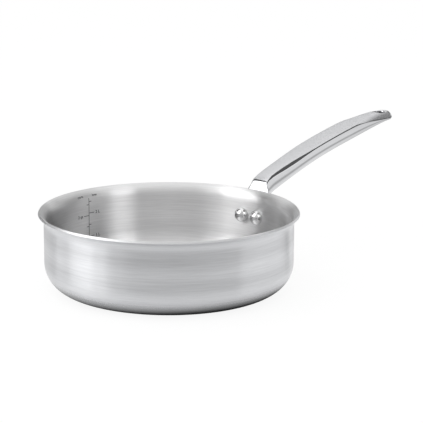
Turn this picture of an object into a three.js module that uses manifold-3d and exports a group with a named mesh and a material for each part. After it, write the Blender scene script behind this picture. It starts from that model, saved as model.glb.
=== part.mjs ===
// Saute pan: a straight-sided body drawn from three-ply clad sheet, a cast steel handle and two rivets.
// Millimetres, +Z up. The origin is the centre of the base, on the surface that the pan stands on.
// The handle points along +X.
import * as THREE from "three";
import { mergeVertices } from "three/addons/utils/BufferGeometryUtils.js";
import Module from "manifold-3d";

const wasm = await Module();
wasm.setup();

// Clad sheet, from the food side outwards
const LINER_THICKNESS = 0.5;
const CORE_THICKNESS = 1.6;
const SKIN_THICKNESS = 0.5;

// Pan body: CORNER_RADIUS and FLARE_RADIUS are measured on the food side of the sheet
const WALL_INNER_DIAMETER = 232;
const PAN_HEIGHT = 75.4;
const CORNER_RADIUS = 24.2;
const FLARE_RADIUS = 13.5;
const FLARE_ANGLE = THREE.MathUtils.degToRad(60);

// Rivets: RIVET_DROP is from the top of the rim down to their axes
const RIVET_SPACING = 19.5;
const RIVET_DROP = 26.4;
const RIVET_HEAD_DIAMETER = 15;
const RIVET_HEAD_HEIGHT = 6.1;
const RIVET_SHANK_DIAMETER = 6.3;
const RIVET_TAIL_DIAMETER = 10.2;
const RIVET_TAIL_HEIGHT = 2.3;
const RIVET_HOLE_CLEARANCE = 0.15;

// Handle flange, riveted to the outside of the wall: its edges are measured from the rivets' axes
const FLANGE_THICKNESS = 5.3;
const FLANGE_SIDE_EDGE = 9.7;
const FLANGE_LOWER_EDGE = 12.6;
const FLANGE_UPPER_EDGE = 5.8;
const SEAT_CLEARANCE = 0.3;
const FLANGE_EDGE_CHAMFER = 0.5;
const SPOT_FACE_MARGIN = 1;

// Handle neck, which clears the rim: ROOT_RISE is the top face's start above the rim.
// CORNER_DROOP is how far the corner between front and top lies under the line of the top face.
const RIM_GAP = 4.3;
const RIM_GAP_DEPTH = 2.9;
const FRONT_LEAN = 1.7;
const CORNER_DROOP = 2.5;
const CORNER_ROUNDING = 2.4;
const RIM_LEVEL_WIDTH = 27;
const NECK_WIDTH = 19.7;
const ROOT_RISE = 13.6;
const ROOT_SETBACK = 16;
const NECK_DEPTH = 19.8;

// Handle grip: HANDLE_REACH is from the rim to the handle's end, END_RISE from the rim's top to the end's top
const HANDLE_REACH = 217.4;
const END_RISE = 53.5;
const GRIP_WIDTH = 24.8;
const END_DEPTH = 10.3;
const TOP_START_SLOPE = THREE.MathUtils.degToRad(19.6);
const TOP_END_SLOPE = THREE.MathUtils.degToRad(-5.5);
const BELLY_START_SLOPE = THREE.MathUtils.degToRad(21.9);
const BELLY_END_SLOPE = THREE.MathUtils.degToRad(13.8);
const TOP_PULLS = [0.25, 0.17];
const BELLY_PULLS = [0.43, 0.45];
const GRIP_CROWN = 0.8;
const END_CROWN = 6.2;
const CROWN_FLATNESS = 3;
const NOSE_BLUNTNESS = 0.38;
const ROOT_EDGE_CHAMFER = 2.3;
const GRIP_EDGE_CHAMFER = 0.7;

// Hanging slot through the handle's end
const SLOT_LENGTH = 15.5;
const SLOT_WIDTH = 10.6;
const SLOT_END_WALL = 8.2;

// Facets
const TURN_SEGMENTS = 64;
const CORNER_SEGMENTS = 5;
const FLARE_SEGMENTS = 4;
const RIVET_SEGMENTS = 24;
const DOME_SEGMENTS = 6;
const FLANGE_STATIONS = 7;
const NECK_STATIONS = 12;
const GRIP_STATIONS = 22;
const NOSE_STATIONS = 6;
const TOP_POINTS = 7;
const BELLY_POINTS = 15;
const WELD_TOLERANCE = 1e-4;

// Sizes that follow from the ones above
const sheetThickness = LINER_THICKNESS + CORE_THICKNESS + SKIN_THICKNESS;
const wallInnerRadius = WALL_INNER_DIAMETER / 2;
const wallOuterRadius = wallInnerRadius + sheetThickness;
const flareStart = PAN_HEIGHT - FLARE_RADIUS * Math.sin(FLARE_ANGLE);
const rimRadius = wallOuterRadius + (FLARE_RADIUS - sheetThickness) * (1 - Math.cos(FLARE_ANGLE));
const rivetHeight = PAN_HEIGHT - RIVET_DROP;
const rivetAngle = Math.asin(RIVET_SPACING / 2 / wallInnerRadius);
const rivetHoleDiameter = RIVET_SHANK_DIAMETER + 2 * RIVET_HOLE_CLEARANCE;
const flangeBack = wallOuterRadius + SEAT_CLEARANCE + FLANGE_THICKNESS;
const handleEnd = rimRadius + HANDLE_REACH;

const steel = (color, roughness) => new THREE.MeshStandardMaterial({ color, roughness, metalness: 1 });
const materials = {
  brushedSteel: steel(0xc6c6c8, 0.35),
  brushedAluminium: steel(0xd6d7d9, 0.5),
  castSteel: steel(0xcfcfd1, 0.22),
  polishedSteel: steel(0xdcdcde, 0.1),
};

// A closed solid from a three.js geometry
function solidOf(geometry) {
  const bare = geometry.clone();
  bare.deleteAttribute("normal");
  bare.deleteAttribute("uv");
  const welded = mergeVertices(bare, WELD_TOLERANCE);
  const corners = welded.index.array;
  const triVerts = [];
  for (let i = 0; i < corners.length; i += 3) {
    const [a, b, c] = corners.subarray(i, i + 3);
    if (a !== b && b !== c && c !== a) triVerts.push(a, b, c);
  }
  return new wasm.Manifold(
    new wasm.Mesh({
      numProp: 3,
      vertProperties: welded.getAttribute("position").array,
      triVerts: new Uint32Array(triVerts),
    }),
  );
}

// A named mesh from a solid
function meshOf(name, solid, material) {
  const made = solid.getMesh();
  const geometry = new THREE.BufferGeometry();
  geometry.setAttribute("position", new THREE.BufferAttribute(made.vertProperties, made.numProp));
  geometry.setIndex(new THREE.BufferAttribute(made.triVerts, 1));
  const flatShaded = geometry.toNonIndexed();
  flatShaded.computeVertexNormals();
  const mesh = new THREE.Mesh(flatShaded, material);
  mesh.name = name;
  return mesh;
}

// A profile of (radius, height) turned about +Z
function turned(profile) {
  return new THREE.LatheGeometry(profile, TURN_SEGMENTS).rotateX(Math.PI / 2);
}

// One face of the sheet, from the axis out along the floor, up the wall and over the flare.
// depth is how far the face lies behind the food side.
function sheetFace(depth) {
  const floorRadius = wallInnerRadius - CORNER_RADIUS;
  const cornerHeight = sheetThickness + CORNER_RADIUS;
  const flareCentre = wallInnerRadius + FLARE_RADIUS;
  const face = [new THREE.Vector2(0, sheetThickness - depth)];
  for (let i = 0; i <= CORNER_SEGMENTS; i++) {
    const turn = (i / CORNER_SEGMENTS) * (Math.PI / 2);
    const radius = CORNER_RADIUS + depth;
    face.push(new THREE.Vector2(floorRadius + radius * Math.sin(turn), cornerHeight - radius * Math.cos(turn)));
  }
  for (let i = 0; i <= FLARE_SEGMENTS; i++) {
    const turn = (i / FLARE_SEGMENTS) * FLARE_ANGLE;
    const radius = FLARE_RADIUS - depth;
    face.push(new THREE.Vector2(flareCentre - radius * Math.cos(turn), flareStart + radius * Math.sin(turn)));
  }
  return face;
}

// A cylinder along +X from one distance to another, turned about +Z by an angle and raised to the rivets
function rivetBore(diameter, from, to, angle) {
  return solidOf(
    new THREE.CylinderGeometry(diameter / 2, diameter / 2, to - from, RIVET_SEGMENTS)
      .translate(0, (from + to) / 2, 0)
      .rotateZ(-Math.PI / 2)
      .rotateZ(angle)
      .translate(0, 0, rivetHeight),
  );
}

// One ply of the sheet, between two depths behind the food side, with the rivet holes punched
function ply(innerDepth, outerDepth) {
  let solid = solidOf(turned([...sheetFace(outerDepth), ...sheetFace(innerDepth).reverse()]));
  for (const angle of [-rivetAngle, rivetAngle]) {
    solid = solid.subtract(rivetBore(rivetHoleDiameter, wallInnerRadius / 2, rimRadius, angle));
  }
  return solid;
}

// A domed head inside the pan, a shank through sheet and flange, and a tail upset on the flange.
// The hollow wall meets the edge of the head first.
function rivet() {
  const head = RIVET_HEAD_DIAMETER / 2;
  const facetRadius = wallInnerRadius * Math.cos(Math.PI / TURN_SEGMENTS);
  const headSeat = Math.sqrt(facetRadius ** 2 - head ** 2) - SEAT_CLEARANCE;
  const tailSeat = flangeBack + SEAT_CLEARANCE;
  const shank = RIVET_SHANK_DIAMETER / 2;
  const dome = (radius, seat, height) => {
    const points = [];
    for (let i = 0; i <= DOME_SEGMENTS; i++) {
      const turn = (i / DOME_SEGMENTS) * (Math.PI / 2);
      points.push(new THREE.Vector2(radius * Math.sin(turn), seat + height * Math.cos(turn)));
    }
    return points;
  };
  const profile = [
    ...dome(head, headSeat, -RIVET_HEAD_HEIGHT),
    new THREE.Vector2(shank, headSeat),
    new THREE.Vector2(shank, tailSeat),
    ...dome(RIVET_TAIL_DIAMETER / 2, tailSeat, RIVET_TAIL_HEIGHT).reverse(),
  ];
  return solidOf(new THREE.LatheGeometry(profile, RIVET_SEGMENTS).rotateZ(-Math.PI / 2));
}

// A cubic curve in side view that leaves and arrives at given slopes; a pull is that end's share of the span
function sideCurve(start, startSlope, end, endSlope, [startPull, endPull]) {
  const span = end.x - start.x;
  const lead = new THREE.Vector2(1, Math.tan(startSlope)).multiplyScalar(span * startPull);
  const trail = new THREE.Vector2(1, Math.tan(endSlope)).multiplyScalar(span * endPull);
  return new THREE.CubicBezierCurve(start, start.clone().add(lead), end.clone().sub(trail), end);
}

// One closed section of the handle. top and belly are its ends in side view, as (x, z).
// fullness squares the belly up: 2 is an ellipse, and more is fuller.
function section({ top, belly, halfWidth, crown, chamfer, fullness }) {
  const down = belly.clone().sub(top);
  const depth = down.length();
  down.normalize();
  const faceHalf = halfWidth - chamfer;
  const edgeDrop = crown + chamfer;
  const at = (side, drop) => new THREE.Vector3(top.x + down.x * drop, side, top.y + down.y * drop);
  const ring = [];
  for (let i = 0; i < TOP_POINTS; i++) {
    const across = 1 - (2 * i) / (TOP_POINTS - 1);
    ring.push(at(faceHalf * across, crown * Math.abs(across) ** CROWN_FLATNESS));
  }
  for (let i = 0; i < BELLY_POINTS; i++) {
    const turn = (i / (BELLY_POINTS - 1)) * Math.PI;
    const across = -Math.sign(Math.cos(turn)) * Math.abs(Math.cos(turn)) ** (2 / fullness);
    const drop = Math.sin(turn) ** (2 / fullness);
    ring.push(at(halfWidth * across, edgeDrop + (depth - edgeDrop) * drop));
  }
  return ring;
}

// A closed skin over a row of sections, with a fan of triangles over each end
function loft(rings) {
  const count = rings[0].length;
  const positions = rings.flat().flatMap((p) => p.toArray());
  const index = [];
  for (let r = 0; r + 1 < rings.length; r++) {
    for (let i = 0; i < count; i++) {
      const a = r * count + i;
      const b = r * count + ((i + 1) % count);
      index.push(a, b, a + count, b, b + count, a + count);
    }
  }
  const cap = (r, flip) => {
    const centre = rings[r].reduce((sum, p) => sum.add(p), new THREE.Vector3()).divideScalar(count);
    const hub = positions.length / 3;
    positions.push(...centre.toArray());
    for (let i = 0; i < count; i++) {
      const a = r * count + i;
      const b = r * count + ((i + 1) % count);
      index.push(...(flip ? [hub, b, a] : [hub, a, b]));
    }
  };
  cap(0, true);
  cap(rings.length - 1, false);
  const geometry = new THREE.BufferGeometry();
  geometry.setAttribute("position", new THREE.Float32BufferAttribute(positions, 3));
  geometry.setIndex(index);
  return geometry;
}

const { lerp, smoothstep } = THREE.MathUtils;

// Sections of the flange: level cuts of a rounded plate against the wall, whose seat is cut afterwards
function flangeSections() {
  const halfWidth = RIVET_SPACING / 2 + FLANGE_SIDE_EDGE;
  const low = rivetHeight - FLANGE_LOWER_EDGE;
  const high = rivetHeight + FLANGE_UPPER_EDGE;
  const inside = wallInnerRadius;
  const sections = [];
  for (let i = 0; i < FLANGE_STATIONS; i++) {
    const up = (i / (FLANGE_STATIONS - 1)) ** 1.6;
    const roundness = Math.sqrt(1 - (1 - Math.min(1, 0.12 + up * 1.5)) ** 2);
    const height = lerp(low, high, up);
    sections.push({
      top: new THREE.Vector2(inside, height),
      belly: new THREE.Vector2(flangeBack - FLANGE_THICKNESS * 0.5 * (1 - roundness), height),
      halfWidth: halfWidth * lerp(0.45, 1, roundness),
      crown: 0,
      chamfer: FLANGE_EDGE_CHAMFER,
      fullness: 5,
    });
  }
  return sections;
}

// Sections of the neck: they fan round from the level flange to the leaning root of the grip
function neckSections(gripRoot) {
  const start = flangeSections().at(-1);
  const front = rimRadius + RIM_GAP;
  const corner = new THREE.Vector2(front + FRONT_LEAN * 1.5, gripRoot.top.y - CORNER_DROOP);
  corner.y -= (gripRoot.top.x - corner.x) * Math.tan(TOP_START_SLOPE);
  const frontPath = new THREE.SplineCurve([
    start.top,
    new THREE.Vector2(lerp(wallInnerRadius, front, 0.35), lerp(start.top.y, flareStart, 0.75)),
    new THREE.Vector2(front, PAN_HEIGHT - RIM_GAP_DEPTH),
    new THREE.Vector2(front + FRONT_LEAN, corner.y - CORNER_ROUNDING),
    new THREE.Vector2(corner.x + CORNER_ROUNDING * 0.2, corner.y - CORNER_ROUNDING * 0.1),
    new THREE.Vector2(lerp(corner.x, gripRoot.top.x, 0.3), lerp(corner.y, gripRoot.top.y, 0.36)),
    gripRoot.top,
  ]);
  const knee = gripRoot.belly.y - (gripRoot.belly.x - start.belly.x) * Math.tan(BELLY_START_SLOPE);
  const backPath = new THREE.QuadraticBezierCurve(
    start.belly,
    new THREE.Vector2(start.belly.x, knee),
    gripRoot.belly,
  );
  const sections = [];
  for (let i = 1; i < NECK_STATIONS; i++) {
    const along = i / NECK_STATIONS;
    const top = frontPath.getPoint(along);
    const toRim = smoothstep(top.y, start.top.y, PAN_HEIGHT);
    const overRim = smoothstep(top.y, PAN_HEIGHT - RIM_GAP_DEPTH, PAN_HEIGHT + ROOT_RISE * 0.62);
    sections.push({
      top,
      belly: backPath.getPoint(along),
      halfWidth: lerp(lerp(start.halfWidth, RIM_LEVEL_WIDTH / 2, toRim), NECK_WIDTH / 2, overRim),
      crown: lerp(0, GRIP_CROWN, along),
      chamfer: lerp(start.chamfer, ROOT_EDGE_CHAMFER, overRim),
      fullness: lerp(start.fullness, gripRoot.fullness, along),
    });
  }
  return sections;
}

// Sections of the grip: an arched bar whose edge line drops away from the crown towards the end
function gripSections() {
  const rootTop = new THREE.Vector2(rimRadius + ROOT_SETBACK, PAN_HEIGHT + ROOT_RISE);
  const rootBelly = new THREE.Vector2(rootTop.x + NECK_DEPTH * Math.sin(TOP_START_SLOPE), rootTop.y - NECK_DEPTH);
  const noseLength = GRIP_WIDTH / 2;
  const endTop = new THREE.Vector2(handleEnd - noseLength, PAN_HEIGHT + END_RISE);
  const endBelly = new THREE.Vector2(endTop.x, endTop.y - END_DEPTH);
  const topCurve = sideCurve(rootTop, TOP_START_SLOPE, endTop, TOP_END_SLOPE, TOP_PULLS);
  const bellyCurve = sideCurve(rootBelly, BELLY_START_SLOPE, endBelly, BELLY_END_SLOPE, BELLY_PULLS);
  const sections = [];
  for (let i = 0; i <= GRIP_STATIONS; i++) {
    const along = i / GRIP_STATIONS;
    const tail = smoothstep(along, 0.7, 0.98);
    sections.push({
      top: topCurve.getPointAt(along),
      belly: bellyCurve.getPointAt(along),
      halfWidth: lerp(NECK_WIDTH, GRIP_WIDTH, 1 - (1 - along) ** 6) / 2,
      crown: lerp(GRIP_CROWN, END_CROWN, tail),
      chamfer: lerp(ROOT_EDGE_CHAMFER, GRIP_EDGE_CHAMFER, smoothstep(along, 0.14, 0.36)),
      fullness: lerp(2.6, 2.2, tail),
    });
  }
  return sections;
}

// Sections of the rounded end: the last grip section, shrunk along a quarter circle
function noseSections(last) {
  const length = handleEnd - last.top.x;
  const middle = last.top.clone().lerp(last.belly, 0.5);
  const sections = [];
  for (let i = 1; i <= NOSE_STATIONS; i++) {
    const turn = (i / NOSE_STATIONS) * 1.4;
    const shrink = Math.cos(turn);
    const forward = (length * Math.sin(turn)) / Math.sin(1.4);
    const move = (end) => middle.clone().lerp(end, shrink ** NOSE_BLUNTNESS).add(new THREE.Vector2(forward, 0));
    sections.push({
      ...last,
      top: move(last.top),
      belly: move(last.belly),
      halfWidth: last.halfWidth * shrink,
      crown: last.crown * shrink,
      chamfer: last.chamfer * shrink,
    });
  }
  return sections;
}

// The hanging slot: a long hole with round ends, upright through the handle's end
function hangingSlot() {
  const radius = SLOT_WIDTH / 2;
  const far = handleEnd - SLOT_END_WALL - radius;
  const near = far - (SLOT_LENGTH - SLOT_WIDTH);
  const outline = new THREE.Shape();
  outline.absarc(far, 0, radius, -Math.PI / 2, Math.PI / 2);
  outline.absarc(near, 0, radius, Math.PI / 2, (3 * Math.PI) / 2);
  outline.closePath();
  const height = PAN_HEIGHT + 2 * END_RISE;
  return solidOf(new THREE.ExtrudeGeometry(outline, { depth: height, bevelEnabled: false, curveSegments: 10 }));
}

// The cast handle, seated on the outside of the pan and bored for the rivets
function handle() {
  const grip = gripSections();
  const sections = [...flangeSections(), ...neckSections(grip[0]), ...grip, ...noseSections(grip.at(-1))];
  let solid = solidOf(loft(sections.map(section)));
  const seat = sheetFace(sheetThickness + SEAT_CLEARANCE);
  solid = solid.subtract(solidOf(turned([...seat, new THREE.Vector2(0, seat.at(-1).y)])));
  solid = solid.subtract(hangingSlot());
  const spotFace = RIVET_TAIL_DIAMETER + 2 * SPOT_FACE_MARGIN;
  for (const angle of [-rivetAngle, rivetAngle]) {
    solid = solid.subtract(rivetBore(rivetHoleDiameter, wallInnerRadius / 2, handleEnd, angle));
    solid = solid.subtract(rivetBore(spotFace, flangeBack, flangeBack + FLANGE_THICKNESS, angle));
  }
  return solid;
}

const pan = new THREE.Group();

const body = new THREE.Group();
const coreDepth = LINER_THICKNESS;
const skinDepth = LINER_THICKNESS + CORE_THICKNESS;
body.add(meshOf("inner_liner", ply(0, coreDepth), materials.brushedSteel));
body.add(meshOf("aluminium_core", ply(coreDepth, skinDepth), materials.brushedAluminium));
body.add(meshOf("outer_skin", ply(skinDepth, sheetThickness), materials.brushedSteel));
pan.add(body);

pan.add(meshOf("cast_handle", handle(), materials.castSteel));

const rivetSolid = rivet();
for (const [name, angle] of [["rivet_right", -rivetAngle], ["rivet_left", rivetAngle]]) {
  const mesh = meshOf(name, rivetSolid, materials.polishedSteel);
  mesh.rotation.z = angle;
  mesh.position.z = rivetHeight;
  pan.add(mesh);
}

export default pan;
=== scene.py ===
"""A saute pan of clad sheet with a cast handle, dressed and staged.

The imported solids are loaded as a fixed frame. Each operator makes one piece, or one group of like
pieces, in the same frame: metres, +Z up, the handle along +X, the origin at the centre of the base.
"""
import math
from contextlib import contextmanager
from dataclasses import dataclass, replace

import bmesh
import bpy
from bpy.props import FloatProperty, FloatVectorProperty, IntProperty, PointerProperty
from bpy.types import Operator, Panel, PropertyGroup
from mathutils import Matrix, Vector
from mathutils.bvhtree import BVHTree


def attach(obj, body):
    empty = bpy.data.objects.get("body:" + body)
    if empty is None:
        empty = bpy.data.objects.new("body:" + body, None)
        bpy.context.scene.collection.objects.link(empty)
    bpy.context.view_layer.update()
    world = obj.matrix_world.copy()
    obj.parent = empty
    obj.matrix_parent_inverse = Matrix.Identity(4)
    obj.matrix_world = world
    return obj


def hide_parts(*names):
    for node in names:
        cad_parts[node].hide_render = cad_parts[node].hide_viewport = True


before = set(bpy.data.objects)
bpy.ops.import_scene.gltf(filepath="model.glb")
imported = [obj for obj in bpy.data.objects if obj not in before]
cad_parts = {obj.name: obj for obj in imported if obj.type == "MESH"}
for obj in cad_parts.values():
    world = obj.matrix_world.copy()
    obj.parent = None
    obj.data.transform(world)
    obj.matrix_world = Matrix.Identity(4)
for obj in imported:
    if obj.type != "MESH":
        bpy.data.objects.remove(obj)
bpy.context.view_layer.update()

bl_info = {
    "name": "Saute pan",
    "version": (1, 0, 0),
    "blender": (4, 5, 0),
    "location": "3D View > Sidebar > Saute pan",
    "description": "Builds a clad saute pan with a cast handle, rivets, filling marks and stage",
    "category": "Add Mesh",
}

MM = 0.001
LITRE, QUART = 1e-3, 0.946353e-3
QUARTER = math.pi / 2


# --- Settings ---

def length(name, description, millimetres):
    """A length that the user can change, given in millimetres."""
    return FloatProperty(name=name, description=description, default=millimetres * MM, min=0.0,
                         precision=5, unit="LENGTH", subtype="DISTANCE")


def angle(name, description, degrees):
    """An angle that the user can change, given in degrees."""
    return FloatProperty(name=name, description=description, default=math.radians(degrees),
                         precision=3, unit="ROTATION", subtype="ANGLE")


def share(name, description, value):
    """A plain share of something."""
    return FloatProperty(name=name, description=description, default=value, subtype="FACTOR",
                         soft_min=0.0, soft_max=1.0)


def tint(name, description, *value):
    """A linear colour."""
    return FloatVectorProperty(name=name, description=description, default=value, size=3,
                               subtype="COLOR", min=0.0, max=1.0)


class SheetSettings(PropertyGroup):
    """The pan body, pressed from three-ply sheet."""
    liner: length("Liner", "Thickness of the ply on the food side", 0.5)
    core: length("Core", "Thickness of the aluminium ply", 1.6)
    skin: length("Skin", "Thickness of the outside ply", 0.5)
    inner_diameter: length("Inner diameter", "Across the straight wall, food side", 232)
    height: length("Height", "From the base to the top of the rim", 75.4)
    corner_radius: length("Corner radius", "Between floor and wall, food side", 24.2)
    flare_radius: length("Flare radius", "Of the pouring rim, food side", 13.5)
    flare_angle: angle("Flare angle", "How far the rim turns outwards", 60)
    lip_rounding: length("Lip rounding", "Of the two edges of the cut lip", 0.42)
    turn_steps: IntProperty(name="Turn steps", description="Facets round the pan", default=240,
                            min=32)


class HandleSettings(PropertyGroup):
    """The cast handle: flange, neck, arched grip and hanging slot."""
    flange_thickness: length("Flange thickness", "Of the plate on the wall", 5.3)
    flange_side_edge: length("Flange side edge", "From a rivet's axis to the flange's side", 9.7)
    flange_lower_edge: length("Flange lower edge", "From the rivets' axes down", 12.6)
    flange_upper_edge: length("Flange upper edge", "From the rivets' axes up to the neck", 5.8)
    flange_chamfer: length("Flange chamfer", "On the flange's edges", 0.5)
    seat_clearance: length("Seat clearance", "Between the flange and the wall", 0.3)
    rim_gap: length("Rim gap", "Between the neck and the rim", 4.3)
    rim_gap_depth: length("Rim gap depth", "Below the rim, where the neck comes upright", 2.9)
    front_lean: length("Front lean", "Of the neck's front above the rim", 1.7)
    corner_droop: length("Corner droop", "Of the neck's corner, under the top face's line", 2.5)
    corner_rounding: length("Corner rounding", "Where the front turns into the top face", 2.4)
    neck_rounding: length("Neck rounding", "Of the front's two upright edges", 4.6)
    rim_level_width: length("Width at the rim", "Of the neck", 31)
    neck_width: length("Neck width", "At the root of the grip", 19.7)
    root_rise: length("Root rise", "From the rim up to the start of the top face", 13.6)
    root_setback: length("Root setback", "From the rim back to the start of the top face", 16)
    neck_depth: length("Neck depth", "At the root of the grip", 19.8)
    reach: length("Reach", "From the rim to the handle's end", 217.4)
    end_rise: length("End rise", "From the rim up to the handle's end", 53.5)
    grip_width: length("Grip width", "Across the grip", 24.8)
    end_depth: length("End depth", "Of the grip at its end", 10.3)
    top_start: angle("Top start", "Slope of the top face at the root", 19.6)
    top_end: angle("Top end", "Slope of the top face at the end", -5.5)
    belly_start: angle("Belly start", "Slope of the underside at the root", 21.9)
    belly_end: angle("Belly end", "Slope of the underside at the end", 13.8)
    grip_crown: length("Grip crown", "Drop from the middle of the top face to its edges", 0.8)
    end_crown: length("End crown", "The same drop at the end", 6.2)
    corner_chamfer: length("Corner chamfer", "On the top edges at the neck's corner", 0.7)
    root_chamfer: length("Root chamfer", "On the top edges at the root", 2.3)
    grip_chamfer: length("Grip chamfer", "On the top edges along the grip", 0.7)
    slot_length: length("Slot length", "Of the hanging slot", 15.5)
    slot_width: length("Slot width", "Of the hanging slot", 10.6)
    slot_end_wall: length("Slot end wall", "From the slot to the handle's end", 8.2)
    slot_rounding: length("Slot rounding", "Of the slot's two edges", 1.9)


class RivetSettings(PropertyGroup):
    """The two rivets."""
    spacing: length("Spacing", "Between the two axes at the wall", 19.5)
    drop: length("Drop", "From the top of the rim down to the axes", 26.4)
    head_diameter: length("Head diameter", "Of the domed head inside the pan", 15)
    head_height: length("Head height", "Of the domed head", 6.1)
    shank_diameter: length("Shank diameter", "Of the shank", 6.3)
    tail_diameter: length("Tail diameter", "Of the upset tail outside", 10.2)
    tail_height: length("Tail height", "Of the upset tail", 2.3)
    hole_clearance: length("Hole clearance", "Between a shank and its holes", 0.15)
    spot_margin: length("Spot face margin", "Round a tail", 1)


class MarkSettings(PropertyGroup):
    """The filling marks on the food side of the wall."""
    place: angle("Place", "Round the wall, from the handle", 87.25)
    line_width: length("Line width", "Of the marks", 0.62)
    minor_mark: length("Minor mark", "Length of a half mark", 3.0)
    major_mark: length("Major mark", "Length of a whole mark", 6.6)
    number_height: length("Number height", "Height of the figures", 4.2)
    heading_height: length("Heading height", "Height of the two words on the flare", 3.0)
    heading_level: length("Heading level", "Of the two words, above the base", 69.5)
    proud: length("Proud", "How far the marks stand off the wall", 0.04)
    overrun: length("Overrun", "Of the upright line past the highest mark", 3.4)


class FinishSettings(PropertyGroup):
    """Colours and gloss of the metals."""
    steel: tint("Steel", "Colour of the brushed sheet outside", 0.672, 0.678, 0.694)
    liner: tint("Liner", "Colour of the brushed sheet inside", 0.735, 0.734, 0.737)
    cast: tint("Cast steel", "Colour of the handle", 0.634, 0.638, 0.652)
    bright: tint("Bright steel", "Colour of the rivets", 0.68, 0.682, 0.686)
    aluminium: tint("Aluminium", "Colour of the core", 0.72, 0.725, 0.735)
    print: tint("Marks", "Colour of the filling marks", 0.07, 0.072, 0.076)
    wall_roughness: share("Wall roughness", "Of the brushed sheet", 0.33)
    wall_stretch: share("Wall stretch", "How far the brushing stretches highlights", 1.0)
    satin_roughness: share("Satin roughness", "Of the handle's top face", 0.42)
    polish_roughness: share("Polish roughness", "Of the handle's polished faces", 0.1)


class StageSettings(PropertyGroup):
    """Camera, floor, panels and lamp."""
    eye: FloatVectorProperty(name="Eye", description="Where the camera stands", size=3,
                             unit="LENGTH", subtype="TRANSLATION",
                             default=(-1.14562, -1.09652, 0.45115))
    yaw: angle("Yaw", "Where the camera points, from +X towards +Y", 42.2973)
    pitch: angle("Pitch", "How far the camera looks up", -13.3865)
    roll: angle("Roll", "Of the camera about its axis", 0.3445)
    lens: FloatProperty(name="Lens", description="Focal length in millimetres", default=146.391)
    backdrop: FloatProperty(name="Backdrop", description="Of the white background", default=1.0)
    ambient: FloatProperty(name="Ambient", description="Of the room on matt things", default=0.75)


# --- Meshes ---

DOUBLE, SLIVER = 1e-6, 5e-6


def lerp(a, b, t):
    return a + (b - a) * t


def smoothstep(x, low, high):
    t = min(1.0, max(0.0, (x - low) / (high - low)))
    return t * t * (3 - 2 * t)


def steps(first, last, count):
    """count + 1 values from first to last."""
    return [lerp(first, last, i / count) for i in range(count + 1)]


def add_object(name, data):
    piece = bpy.data.objects.new(name, data)
    bpy.context.scene.collection.objects.link(piece)
    return piece


@contextmanager
def edited(mesh):
    """A mesh opened for editing, then written back."""
    bm = bmesh.new()
    bm.from_mesh(mesh)
    yield bm
    bm.to_mesh(mesh)
    bm.free()


def plain_mesh(name, points, faces):
    mesh = bpy.data.meshes.new(name)
    mesh.from_pydata([tuple(p) for p in points], [], faces)
    return mesh


def tidy_mesh(mesh):
    """Merges doubles and points the faces outwards."""
    with edited(mesh) as bm:
        bmesh.ops.remove_doubles(bm, verts=bm.verts, dist=DOUBLE)
        bmesh.ops.recalc_face_normals(bm, faces=bm.faces)


def body(name, points, faces):
    """A new object with a tidied mesh."""
    mesh = plain_mesh(name, points, faces)
    tidy_mesh(mesh)
    return add_object(name, mesh)


def quads(rows, count, closed=True):
    """Faces between rows of points of equal count."""
    faces = []
    for i in range(rows - 1):
        for j in range(count if closed else count - 1):
            k = (j + 1) % count
            faces.append((i * count + j, i * count + k, (i + 1) * count + k, (i + 1) * count + j))
    return faces


def tube(name, rings):
    """A closed body over a row of rings of equal count."""
    count = len(rings[0])
    last = (len(rings) - 1) * count
    caps = [list(range(count)), list(range(last, last + count))]
    return body(name, [p for ring in rings for p in ring], caps + quads(len(rings), count))


def rod(name, diameter, start, end, turn, height, count=64):
    """A round rod that points away from the pan's axis at a given turn and height."""
    turns = [2 * math.pi * i / count for i in range(count)]
    made = tube(name, [[(x, diameter / 2 * math.cos(t), diameter / 2 * math.sin(t)) for t in turns]
                       for x in (start, end)])
    made.data.transform(Matrix.Translation((0, 0, height)) @ Matrix.Rotation(turn, 4, "Z"))
    return made


def lathe(name, outline, count):
    """A closed outline of (radius, height), turned about +Z. Points on the axis become poles."""
    points, rings = [], []
    for radius, height in outline:
        on_axis = radius < DOUBLE / 10
        first = len(points)
        rings.append([first] * count if on_axis else list(range(first, first + count)))
        for i in range(1 if on_axis else count):
            turn = 2 * math.pi * i / count
            points.append((0, 0, height) if on_axis else
                          (radius * math.cos(turn), radius * math.sin(turn), height))
    faces = []
    for low, high in zip(rings, rings[1:] + rings[:1]):
        for i in range(count):
            j = (i + 1) % count
            corners = list(dict.fromkeys((low[i], low[j], high[j], high[i])))
            if len(corners) > 2:
                faces.append(corners)
    return body(name, points, faces)


def shade(mesh, crease_degrees):
    """Smooth faces, with a crease where two faces meet at more than an angle."""
    mesh.shade_smooth()
    mesh.set_sharp_from_angle(angle=math.radians(crease_degrees))


def settle(piece):
    """Turns a piece's modifiers into its plain mesh."""
    graph = bpy.context.evaluated_depsgraph_get()
    made = bpy.data.meshes.new_from_object(piece.evaluated_get(graph))
    old = piece.data
    piece.modifiers.clear()
    piece.data = made
    made.name = piece.name
    bpy.data.meshes.remove(old)


def drop_slivers(mesh):
    """Clears what a cut leaves behind: faces without area, and pairs that lie back to back."""
    with edited(mesh) as bm:
        bmesh.ops.remove_doubles(bm, verts=bm.verts, dist=SLIVER)
        bmesh.ops.dissolve_degenerate(bm, edges=bm.edges, dist=SLIVER)
        bmesh.ops.triangulate(bm, faces=[face for face in bm.faces if len(face.verts) > 4])
        bmesh.ops.dissolve_degenerate(bm, edges=bm.edges, dist=SLIVER)
        twins = {}
        for face in bm.faces:
            twins.setdefault(frozenset(vert.index for vert in face.verts), []).append(face)
        paired = [face for faces in twins.values() if len(faces) > 1 for face in faces]
        bmesh.ops.delete(bm, geom=paired, context="FACES")


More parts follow.
